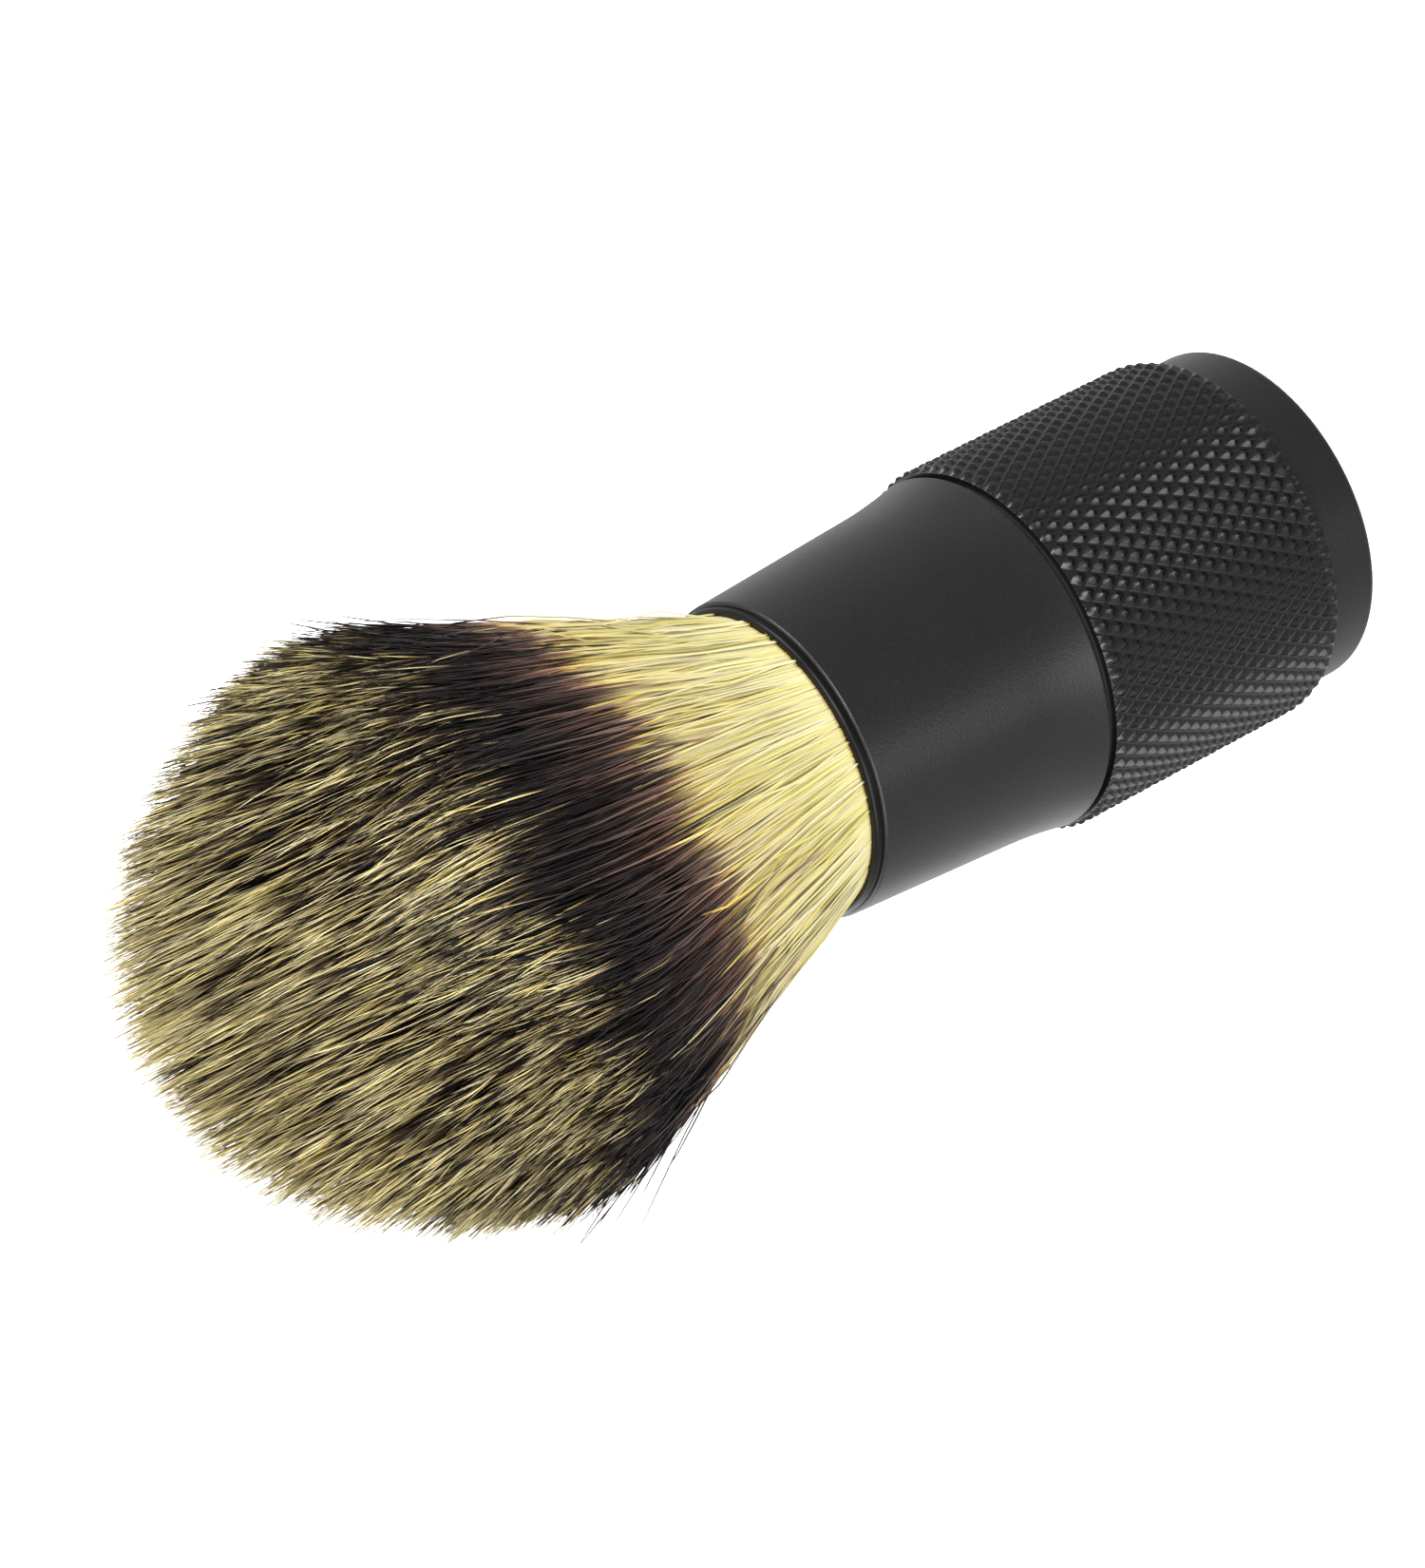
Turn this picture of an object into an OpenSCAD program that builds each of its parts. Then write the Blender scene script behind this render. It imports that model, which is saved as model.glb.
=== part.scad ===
// Fade brush: a fanned bristle knot potted in a lipped cup, held by a conical ferrule
// that a tie stud draws down on a knurled grip sleeve and an end cap.
// Sizes are in millimetres. The brush stands on its end cap, with its axis along +Z.

/* [Grip] */
// Diameter over the knurl's peaks
grip_d = 30; // [27:0.5:36]
// Length of the knurled sleeve
grip_len = 22.8; // [16:0.2:30]
// Diamonds round the knurl
knurl_count = 70; // [50:1:76]
// Depth of the knurl's grooves
knurl_depth = 0.4; // [0.3:0.05:0.8]
// Angle between the grooves and the axis
knurl_angle = 31; // [25:1:35]
// Wall of the sleeve under the grooves
sleeve_wall = 3.6; // [2:0.05:5]

/* [End cap] */
// Height of the plain band that shows under the knurl
band_h = 4.8; // [3.5:0.1:8]
// Depth of the band below the knurl's peaks
band_step = 1.15; // [0.8:0.05:2]
// Radius on the band's outer edge
band_edge_r = 0.6; // [0.2:0.1:1]
// Metal under the stud's hole
cap_floor = 2; // [1.2:0.1:3]

/* [Ferrule] */
// Length from the seam to the mouth
ferrule_len = 20.85; // [18:0.05:30]
// Diameter at the mouth
mouth_d = 25.7; // [22:0.1:27]
// Diameter where the straight cone meets the flare
neck_d = 27.55; // [24:0.05:28]
// Length of the concave flare in front of the seam
flare_len = 5.85; // [3:0.05:9]
// Depth of the rear edge below the knurl's peaks
ferrule_step = 0.5; // [0.3:0.05:1]
// Radius on the rear edge
back_edge_r = 0.4; // [0.2:0.05:0.6]
// Radius on the mouth's outer edge
rim_r = 0.25; // [0.1:0.05:0.4]
// Wall round the cup at the mouth
ferrule_wall = 0.75; // [0.5:0.05:1.2]
// Metal between the stud's hole and the cup
ferrule_floor = 2.6; // [1.5:0.1:4]
// Length of the spigots on the ferrule and the cap that centre the sleeve
spigot_len = 3; // [2:0.1:5]
// Chamfer on the ends of the spigots and the stud
lead_in = 0.5; // [0.2:0.1:0.8]

/* [Tie stud] */
// Diameter over the thread
stud_d = 8; // [6:0.5:10]
// Length in front of the seam
stud_reach = 4.2; // [3:0.1:6]
// Room at each end of the stud in its hole
stud_room = 1; // [0.5:0.1:2]

/* [Seam washer] */
// Thickness
washer_t = 0.35; // [0.2:0.05:1]
// Depth of its edge below the ferrule's rear edge
washer_step = 0.45; // [0.1:0.05:1]

/* [Knot cup] */
// Wall of the cup
cup_wall = 0.45; // [0.35:0.05:0.8]
// Floor of the cup
cup_floor = 1.2; // [0.8:0.1:2]
// Height of the lip in front of the mouth
lip_h = 0.65; // [0.5:0.05:1.5]
// Depth of the lip's side below the mouth's edge
lip_step = 0.3; // [0.25:0.05:0.6]

/* [Knot] */
// Height of the dome's top above the mouth
loft = 56; // [46:0.5:60]
// Widest diameter of the bloom
bloom_d = 46; // [38:0.5:54]
// Height of the widest place above the mouth
bloom_h = 29.5; // [24:0.5:34]
// Angle on the dome between its top and the lowest strand tips
dome_span = 70; // [60:1:80]
// Depth of the strands' roots below the mouth
root_depth = 3; // [2:0.1:4]
// Potting that the strands are fused to
backing_t = 1.5; // [1:0.1:2]
// Room between the cup and the axes of the outer strands
root_margin = 0.75; // [0.6:0.05:2]
// Height above the mouth where the strands start to fan out
fan_h = 0.4; // [0:0.1:1.5]
// Strands in the knot
strand_count = 420; // [300:10:440]
// Radius of a strand at its root
strand_root_r = 0.33; // [0.2:0.01:0.36]
// Radius of a strand where it is thickest
strand_full_r = 0.85; // [0.4:0.01:0.95]

/* [Fits] */
// Radial clearance of the glued, pressed and screwed fits
fit_gap = 0.05; // [0.02:0.01:0.1]

/* [Hidden] */
$fn = 96;

// Levels along the axis
seam_z = band_h + grip_len;
back_z = seam_z + washer_t;
mouth_z = back_z + ferrule_len;
stud_tip_z = back_z + stud_reach;
cup_base_z = stud_tip_z + stud_room + ferrule_floor + fit_gap;
root_z = mouth_z - root_depth;
backing_z = root_z - backing_t;
bloom_z = mouth_z + bloom_h;

// Radii
sleeve_bore_r = grip_d / 2 - knurl_depth - sleeve_wall;
spigot_r = sleeve_bore_r - fit_gap;
stud_hole_r = stud_d / 2 + fit_gap;
band_r = grip_d / 2 - band_step;
back_r = grip_d / 2 - ferrule_step;
neck_r = neck_d / 2;
mouth_r = mouth_d / 2;
ferrule_bore_r = mouth_r - ferrule_wall;
cup_r = ferrule_bore_r - fit_gap;
cup_bore_r = cup_r - cup_wall;
lip_r = mouth_r - lip_step;
potting_r = cup_bore_r - fit_gap;
root_r = cup_bore_r - root_margin;

// Points of a circular arc between two angles
function arc(centre, r, from, to, steps = 8) =
    [for (i = [0:steps]) let (a = from + (to - from) * i / steps) centre + r * [cos(a), sin(a)]];

// Knurl: rings of peaks and groove corners in turn, each ring set half a pitch on from the last.
// Every square of the net is split along its groove, so each peak is a four-sided pyramid.
// The first and last rings lie at the grooves' depth, so the knurl runs out at both ends.
knurl_cols = 2 * knurl_count;
knurl_rows = round(grip_len / (PI * grip_d / knurl_cols / tan(knurl_angle)));

function knurl_peak(row, col) = row > 0 && row < knurl_rows && (row + col) % 2 == 0;

function knurl_point(row, col) =
    let (r = grip_d / 2 - (knurl_peak(row, col) ? 0 : knurl_depth))
    [r * cos(360 * col / knurl_cols), r * sin(360 * col / knurl_cols), grip_len * row / knurl_rows];

function knurl_index(row, col) = row * knurl_cols + col % knurl_cols;

function knurl_square(row, col) =
    let (
        a = knurl_index(row, col),
        b = knurl_index(row + 1, col),
        c = knurl_index(row + 1, col + 1),
        d = knurl_index(row, col + 1)
    )
    (row + col) % 2 == 0 ? [[a, b, d], [b, c, d]] : [[a, b, c], [a, c, d]];

module knurled_bar() {
    rings = [for (row = [0:knurl_rows]) for (col = [0:knurl_cols - 1]) knurl_point(row, col)];
    foot = len(rings);
    head = foot + 1;
    sides = [for (row = [0:knurl_rows - 1]) for (col = [0:knurl_cols - 1]) each knurl_square(row, col)];
    ends = [for (col = [0:knurl_cols - 1]) each [
        [foot, knurl_index(0, col), knurl_index(0, col + 1)],
        [head, knurl_index(knurl_rows, col + 1), knurl_index(knurl_rows, col)]
    ]];
    polyhedron(points = concat(rings, [[0, 0, 0], [0, 0, grip_len]]), faces = concat(sides, ends));
}

// Strands: each runs in its own half-plane, straight up out of the cup, then out to the dome.
// The outer ones bow out to the bloom. Roots follow a sunflower pattern and tips share the
// dome's surface evenly, so no two cross.
golden_angle = 180 * (3 - sqrt(5));
full_share = 0.75;
strand_sides = 3;
ring_radii = [strand_root_r, strand_root_r, strand_full_r];
strand_size = strand_sides * len(ring_radii) + 1;

function strand_share(i) = sqrt((i + 0.5) / strand_count);

function strand_tip(share) =
    let (polar = acos(1 - share * share * (1 - cos(dome_span))))
    [bloom_d / 2 * sin(polar), bloom_z + (loft - bloom_h) * cos(polar)];

function strand_bend(share) = [share * root_r, mouth_z + fan_h];

function strand_chord(share) = (1 - full_share) * strand_bend(share) + full_share * strand_tip(share);

// Radius and height of the strand's axis at its root, its bend, its thickest place and its tip
strand_bow = [bloom_d / 2 - strand_full_r / 2, bloom_z] - strand_chord(1);

function strand_axis(share) = [
    [share * root_r, root_z - backing_t / 2],
    strand_bend(share),
    strand_chord(share) + share * share * strand_bow,
    strand_tip(share)
];

function strand_point(i, axis, r, corner) =
    let (turn = i * golden_angle, out = axis[0] + r * cos(corner), side = r * sin(corner))
    [out * cos(turn) - side * sin(turn), out * sin(turn) + side * cos(turn), axis[1]];

function strand_points(i) =
    let (axis = strand_axis(strand_share(i)), rings = len(ring_radii))
    [
        for (k = [0:rings - 1]) for (c = [0:strand_sides - 1])
            strand_point(i, axis[k], ring_radii[k], 180 + 360 * c / strand_sides),
        strand_point(i, axis[rings], 0, 0)
    ];

function strand_faces(i) =
    let (
        rings = len(ring_radii),
        base = i * strand_size,
        last = base + strand_sides * (rings - 1),
        tip = base + strand_size - 1
    )
    [
        [base, base + 1, base + 2],
        for (k = [0:rings - 2]) for (c = [0:strand_sides - 1])
            let (
                low = base + k * strand_sides,
                high = low + strand_sides,
                next = (c + 1) % strand_sides
            )
            each [[low + c, high + c, high + next], [low + c, high + next, low + next]],
        for (c = [0:strand_sides - 1]) [last + c, tip, last + (c + 1) % strand_sides]
    ];

module bristles() {
    color("#b0a062") {
        translate([0, 0, backing_z]) cylinder(r = potting_r, h = backing_t);
        polyhedron(
            points = [for (i = [0:strand_count - 1]) each strand_points(i)],
            faces = [for (i = [0:strand_count - 1]) each strand_faces(i)]
        );
    }
}

module resin_plug() {
    base = cup_base_z + cup_floor;
    color("#3b342c") translate([0, 0, base]) cylinder(r = potting_r, h = backing_z - base);
}

// Thin cup with a rounded lip that sits on the ferrule's mouth
module knot_cup() {
    lip_w = lip_r - cup_bore_r;
    round_r = min(lip_w, lip_h) / 2;
    top = mouth_z + lip_h;
    color("#141315") rotate_extrude() polygon(concat(
        [[0, cup_base_z], [cup_r, cup_base_z], [cup_r, mouth_z], [lip_r, mouth_z]],
        arc([lip_r - round_r, top - round_r], round_r, 0, 90),
        arc([cup_bore_r + round_r, top - round_r], round_r, 90, 180),
        [[cup_bore_r, cup_base_z + cup_floor], [0, cup_base_z + cup_floor]]
    ));
}

// Straight cone that flares out to the seam, bored in front for the cup and behind for the stud
module ferrule() {
    slope = (neck_r - mouth_r) / (ferrule_len - flare_len);
    drop = flare_len - back_edge_r;
    rise = back_r - neck_r - slope * drop;
    flare_steps = 10;
    flare = [for (i = [flare_steps - 1:-1:0]) let (t = i / flare_steps)
        [neck_r + slope * drop * t + rise * t * t, back_z + flare_len - drop * t]];
    foot_z = seam_z - spigot_len;
    color("#2e2d2e") difference() {
        rotate_extrude() polygon(concat(
            [[0, foot_z], [spigot_r - lead_in, foot_z], [spigot_r, foot_z + lead_in], [spigot_r, back_z]],
            arc([back_r - back_edge_r, back_z + back_edge_r], back_edge_r, -90, 0),
            flare,
            arc([mouth_r - rim_r, mouth_z - rim_r], rim_r, 0, 90),
            [[0, mouth_z]]
        ));
        translate([0, 0, cup_base_z - fit_gap])
            cylinder(r = ferrule_bore_r, h = mouth_z - cup_base_z + 1);
        translate([0, 0, foot_z - 1])
            cylinder(r = stud_hole_r, h = stud_tip_z + stud_room - foot_z + 1);
    }
}

module seam_washer() {
    color("#0c0c0d") translate([0, 0, seam_z]) difference() {
        cylinder(r = back_r - washer_step, h = washer_t);
        translate([0, 0, -1]) cylinder(r = sleeve_bore_r, h = washer_t + 2);
    }
}

module grip_sleeve() {
    color("#242324") translate([0, 0, band_h]) difference() {
        knurled_bar();
        translate([0, 0, -1]) cylinder(r = sleeve_bore_r, h = grip_len + 2);
    }
}

module tie_stud() {
    foot_z = cap_floor + stud_room;
    core_r = stud_d / 2;
    color("#8d9094") rotate_extrude() polygon([
        [0, foot_z],
        [core_r - lead_in, foot_z],
        [core_r, foot_z + lead_in],
        [core_r, stud_tip_z - lead_in],
        [core_r - lead_in, stud_tip_z],
        [0, stud_tip_z]
    ]);
}

// Plain band with a spigot that centres the sleeve and a blind hole for the stud
module end_cap() {
    top = band_h + spigot_len;
    color("#2e2d2e") difference() {
        rotate_extrude() polygon(concat(
            [[0, 0]],
            arc([band_r - band_edge_r, band_edge_r], band_edge_r, -90, 0),
            [[band_r, band_h], [spigot_r, band_h]],
            [[spigot_r, top - lead_in], [spigot_r - lead_in, top], [0, top]]
        ));
        translate([0, 0, cap_floor]) cylinder(r = stud_hole_r, h = top);
    }
}

bristles();
resin_plug();
knot_cup();
ferrule();
seam_washer();
grip_sleeve();
tie_stud();
end_cap();
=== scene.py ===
import bpy
import math
import numpy as np
from mathutils import Matrix, Vector
from types import SimpleNamespace


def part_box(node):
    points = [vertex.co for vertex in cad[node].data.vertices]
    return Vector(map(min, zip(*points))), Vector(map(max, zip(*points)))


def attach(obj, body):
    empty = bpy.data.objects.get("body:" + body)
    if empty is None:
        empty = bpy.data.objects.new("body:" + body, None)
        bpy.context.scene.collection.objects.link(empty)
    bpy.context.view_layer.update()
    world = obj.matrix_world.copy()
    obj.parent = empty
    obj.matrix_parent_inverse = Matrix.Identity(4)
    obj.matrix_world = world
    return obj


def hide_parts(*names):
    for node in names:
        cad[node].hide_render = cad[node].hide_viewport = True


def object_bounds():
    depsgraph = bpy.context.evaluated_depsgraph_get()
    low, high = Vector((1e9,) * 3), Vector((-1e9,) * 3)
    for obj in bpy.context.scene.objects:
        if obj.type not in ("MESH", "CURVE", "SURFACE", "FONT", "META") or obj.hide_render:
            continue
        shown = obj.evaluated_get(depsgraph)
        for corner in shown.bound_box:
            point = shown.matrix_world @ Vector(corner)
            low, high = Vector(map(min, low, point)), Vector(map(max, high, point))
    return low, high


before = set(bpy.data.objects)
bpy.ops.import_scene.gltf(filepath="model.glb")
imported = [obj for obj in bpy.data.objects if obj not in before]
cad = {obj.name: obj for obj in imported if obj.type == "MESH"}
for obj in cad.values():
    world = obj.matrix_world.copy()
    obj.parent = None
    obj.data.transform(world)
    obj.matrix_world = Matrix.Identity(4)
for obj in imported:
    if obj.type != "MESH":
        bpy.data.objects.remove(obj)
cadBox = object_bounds()
scene = bpy.context.scene
mm = 0.001
sameSpot = 1e-6     # metres: points closer than this are one
cutGap = 1e-7       # metres: points closer than this to a cut lie on it
tiny = 1e-6         # keeps a division away from zero

# places along the brush, read from the frame
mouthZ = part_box("ferrule")[1][2]
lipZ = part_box("knot_cup")[1][2]
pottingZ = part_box("bristles")[0][2]
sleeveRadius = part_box("grip_sleeve")[1][0]
print("frame loaded:", len(cad), "solids")


def linearColour(code):
    parts = [int(code[i:i + 2], 16) / 255 for i in (1, 3, 5)]
    return tuple(c / 12.92 if c <= 0.04045 else ((c + 0.055) / 1.055) ** 2.4 for c in parts) + (1.0,)


def addNode(tree, kind, settings=None, inputs=None):
    node = tree.nodes.new(kind)
    for name, value in (settings or {}).items():
        setattr(node, name, value)
    for name, value in (inputs or {}).items():
        if isinstance(value, bpy.types.NodeSocket):
            tree.links.new(value, node.inputs[name])
        else:
            node.inputs[name].default_value = value
    return node


def mathNode(tree, operation, *values):
    node = addNode(tree, "ShaderNodeMath", {"operation": operation}, dict(enumerate(values)))
    return node.outputs[0]


def vectorNode(tree, operation, *values):
    node = addNode(tree, "ShaderNodeVectorMath", {"operation": operation}, dict(enumerate(values)))
    return node.outputs["Value" if operation in ("DOT_PRODUCT", "LENGTH") else "Vector"]


def remap(tree, value, start=(0.0, 1.0), result=(0.0, 1.0), kind="LINEAR"):
    node = addNode(tree, "ShaderNodeMapRange", {"interpolation_type": kind},
                   {"Value": value, "From Min": start[0], "From Max": start[1],
                    "To Min": result[0], "To Max": result[1]})
    return node.outputs[0]


def objectPlace(tree):
    return addNode(tree, "ShaderNodeTexCoord").outputs["Object"]


def noise(tree, size, detail, roughness=0.5):
    node = addNode(tree, "ShaderNodeTexNoise", None,
                   {"Vector": objectPlace(tree), "Scale": 1 / size, "Detail": detail,
                    "Roughness": roughness})
    return node.outputs[0]


def newMaterial(name, **uniform):
    material = bpy.data.materials.new(name)
    material.use_nodes = True
    shader = material.node_tree.nodes["Principled BSDF"]
    for socket, value in uniform.items():
        shader.inputs[socket.replace("_", " ")].default_value = value
    return material, material.node_tree, shader


def colourBetween(tree, shader, factor, first, second):
    node = addNode(tree, "ShaderNodeMix", {"data_type": "RGBA"},
                   {0: factor, 6: linearColour(first), 7: linearColour(second)})
    tree.links.new(node.outputs[2], shader.inputs["Base Color"])


def roughBetween(tree, shader, value, limits, start=(0.0, 1.0)):
    tree.links.new(remap(tree, value, start, limits), shader.inputs["Roughness"])


def bumpFrom(tree, shader, height, strength, depth):
    node = addNode(tree, "ShaderNodeBump", None,
                   {"Strength": strength, "Distance": depth, "Height": height})
    tree.links.new(node.outputs[0], shader.inputs["Normal"])


def setRamp(node, stops):
    ramp = node.color_ramp
    while len(ramp.elements) > 1:
        ramp.elements.remove(ramp.elements[-1])
    ramp.elements[0].position, ramp.elements[0].color = stops[0]
    for position, colour in stops[1:]:
        ramp.elements.new(position).color = colour


def dress(piece, material):
    piece.data.materials.clear()
    piece.data.materials.append(material)


def deselect():
    if bpy.context.object and bpy.context.object.mode != "OBJECT":
        bpy.ops.object.mode_set(mode="OBJECT")
    bpy.ops.object.select_all(action="DESELECT")


# cuts the mesh in edit mode to its node's length
def trimEnds(low, high, fill):
    for level, cut in ((low[2], "clear_inner"), (high[2], "clear_outer")):
        bpy.ops.mesh.select_all(action="SELECT")
        bpy.ops.mesh.bisect(plane_co=(0, 0, level), plane_no=(0, 0, 1), threshold=cutGap,
                            use_fill=fill, **{cut: True})


# turns both ends of a round piece down at 45 degrees
def chamferEnds(mesh, low, high, size):
    for v in mesh.vertices:
        reach = math.hypot(v.co.x, v.co.y)
        limit = high[0] - size + min(v.co.z - low[2], high[2] - v.co.z)
        if reach > limit:
            v.co.x, v.co.y = v.co.x * limit / reach, v.co.y * limit / reach


# the camera stands where the photograph was taken, rolled so that the brush lies across the frame
camera = {
    "elevation": 29.615,        # degrees above the level of the brush's end
    "roll": -117.26,            # degrees about the line of sight
    "distance": 446.9 * mm,     # from the ferrule's mouth
    "right": -4.54 * mm,        # the mouth sits a little right of the middle
    "up": -1.65 * mm,
    "lens": 138.0,
    "sensor": 36.0,
    "clip": (0.01, 20.0),
}
turn = Matrix.Rotation(math.radians(90 - camera["elevation"]), 4, "X")
turn = turn @ Matrix.Rotation(math.radians(camera["roll"]), 4, "Z")
spot = Vector((camera["right"], camera["up"], camera["distance"]))
eye = bpy.data.cameras.new("photoCamera")
eye.lens, eye.sensor_width, eye.sensor_fit = camera["lens"], camera["sensor"], "AUTO"
eye.clip_start, eye.clip_end = camera["clip"]
eyeObject = bpy.data.objects.new("photoCamera", eye)
mouth = Matrix.Translation(Vector((0, 0, mouthZ)))
eyeObject.matrix_world = mouth @ turn @ Matrix.Translation(spot)
scene.collection.objects.link(eyeObject)
scene.camera = eyeObject
scene.view_settings.view_transform = "Standard"
print("camera placed")

# a white room: dim on one side, a bright wall behind, and two tall strip softboxes
studio = {
    "wall": (0.37, 0.80),                 # from the dim side to the bright side
    "wallTurn": (-0.8, 0.7),              # where it starts and stops growing brighter
    "brightWay": (-0.22, 0.975, 0.0),
    "strips": [                           # way round the room, gain, inner and outer half width
        ((-0.545, -0.839, 0.0), 1.35, 3.0, 15.0),    # draws the line of light on the ferrule
        ((-0.38, 0.925, 0.0), 0.95, 4.0, 34.0),      # lights the far edge
    ],
    "stripFoot": (-0.58, -0.40),          # how far below the level the strips reach
    "stripRise": (-0.38, 0.24),           # between these heights they grow brighter,
    "stripMore": 3.8,                     # by this much,
    "stripHead": (0.36, 0.62),            # before they end
    "softboxes": [                        # name, watts, size, place
        ("keySoftbox", 4.3, 0.45, (0.18, -0.52, 0.42)),
        ("topSoftbox", 2.8, 0.40, (0.10, 0.12, 0.66)),
        ("sideSoftbox", 2.1, 0.45, (-0.50, -0.32, 0.26)),
        ("edgeSoftbox", 2.7, 0.40, (0.56, -0.16, 0.24)),
    ],
    "aim": 20.0 * mm,                     # the softboxes point this far above the ferrule's mouth
    "floorSize": 8.0,
    "floorGlow": 0.93,
}
room = bpy.data.worlds.new("whiteRoom")
scene.world = room
room.use_nodes = True
tree = room.node_tree
background = tree.nodes["Background"]
look = addNode(tree, "ShaderNodeTexCoord").outputs["Generated"]
level = vectorNode(tree, "NORMALIZE", vectorNode(tree, "MULTIPLY", look, (1, 1, 0)))
height = addNode(tree, "ShaderNodeSeparateXYZ", None, {0: look}).outputs["Z"]
light = remap(tree, vectorNode(tree, "DOT_PRODUCT", look, studio["brightWay"]),
              studio["wallTurn"], studio["wall"], "SMOOTHSTEP")
foot = remap(tree, height, studio["stripFoot"], kind="SMOOTHSTEP")
rise = remap(tree, height, studio["stripRise"], (1.0, studio["stripMore"]))
head = remap(tree, height, studio["stripHead"], (1.0, 0.0), "SMOOTHSTEP")
tall = mathNode(tree, "MULTIPLY", mathNode(tree, "MULTIPLY", foot, rise), head)
for way, gain, inner, outer in studio["strips"]:
    near = vectorNode(tree, "DOT_PRODUCT", level, way)
    edges = [math.cos(math.radians(width)) for width in (outer, inner)]
    strip = remap(tree, near, edges, (0.0, gain), "SMOOTHSTEP")
    light = mathNode(tree, "MULTIPLY_ADD", strip, tall, light)
background.inputs["Color"].default_value = linearColour("#ffffff")
tree.links.new(light, background.inputs["Strength"])

for name, watts, size, spot in studio["softboxes"]:
    lamp = bpy.data.lights.new(name, "AREA")
    lamp.energy, lamp.shape, lamp.size = watts, "DISK", size
    softbox = bpy.data.objects.new(name, lamp)
    softbox.location = Vector(spot)
    aim = Vector((0, 0, mouthZ + studio["aim"])) - softbox.location
    softbox.rotation_euler = aim.to_track_quat("-Z", "Y").to_euler()
    scene.collection.objects.link(softbox)

# white paper, lit from below: no shade of its own, so the brush stands clear as on a light table
deselect()
bpy.ops.mesh.primitive_plane_add(size=studio["floorSize"], location=(0, 0, cadBox[0][2]))
floor = bpy.context.object
floor.name = "floor"
paper = newMaterial("whitePaper", Base_Color=linearColour("#f2f2f0"), Roughness=0.9,
                    Emission_Color=linearColour("#ffffff"), Emission_Strength=studio["floorGlow"])[0]
dress(floor, paper)
for ray in ("glossy", "diffuse", "shadow"):
    setattr(floor, "visible_" + ray, False)
print("studio lit")

# black anodised aluminium, bead blasted: matt charcoal with a fine sparkle
blasted = {
    "colour": "#0c0c0d",
    "colourWorn": "#151516",
    "grain": 0.20 * mm,        # blasting grit is near 0.1 mm, drawn a little coarser so that it shows
    "cloud": 6.0 * mm,
    "pattern": (0.3, 0.7),     # the part of the noise that shows
    "roughness": (0.33, 0.39),
    "bump": 0.9,
    "bumpDepth": 0.02 * mm,
}
satin, tree, shader = newMaterial("anodisedAluminiumBlasted", IOR=1.5, Metallic=0.0)
grit = noise(tree, blasted["grain"], detail=1.0)
cloud = noise(tree, blasted["cloud"], detail=3.0, roughness=0.6)
colourBetween(tree, shader, remap(tree, grit, blasted["pattern"]),
              blasted["colour"], blasted["colourWorn"])
roughBetween(tree, shader, cloud, blasted["roughness"], blasted["pattern"])
bumpFrom(tree, shader, grit, blasted["bump"], blasted["bumpDepth"])
dress(cad["ferrule"], satin)
dress(cad["end_cap"], satin)

# black anodised aluminium, knurled: the rolled crests are polished paler than the grooves between them
knurled = {
    "grooveColour": "#0d0d0f",
    "crestColour": "#141416",
    "crestBand": 0.20 * mm,       # how far down from the crests the paler band reaches
    "grain": 0.14 * mm,
    "roughness": (0.24, 0.20),    # in the grooves and on the crests
    "bump": 0.25,
    "bumpDepth": 0.02 * mm,
}
rolled, tree, shader = newMaterial("anodisedAluminiumKnurled", IOR=1.5, Metallic=0.0)
reach = vectorNode(tree, "LENGTH", vectorNode(tree, "MULTIPLY", objectPlace(tree), (1, 1, 0)))
crest = remap(tree, reach, (sleeveRadius - knurled["crestBand"], sleeveRadius), kind="SMOOTHSTEP")
colourBetween(tree, shader, crest, knurled["grooveColour"], knurled["crestColour"])
roughBetween(tree, shader, crest, knurled["roughness"])
grit = noise(tree, knurled["grain"], detail=1.0)
bumpFrom(tree, shader, grit, knurled["bump"], knurled["bumpDepth"])

# two hands of rolled grooves leave small flat-topped diamonds
knurl = {
    "starts": 70,                  # grooves of each hand round the sleeve
    "crossings": (0.484, 0.422),   # grooves of each hand met in a millimetre along it
    "depth": 0.40 * mm,
    "groove": ((0.06, 0.03), (0.14, 0.17), (0.41, 1.0)),   # half a groove: shares of its pitch and depth
    "spare": 2,                    # diamonds rolled past each end, before it is trimmed
    "chamfer": 0.42 * mm,          # at each end of the sleeve
    "bore": 11.0 * mm,
    "smooth": 38.0,                # grooves roll from flank to flank, crests and hips stay crisp
}


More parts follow.
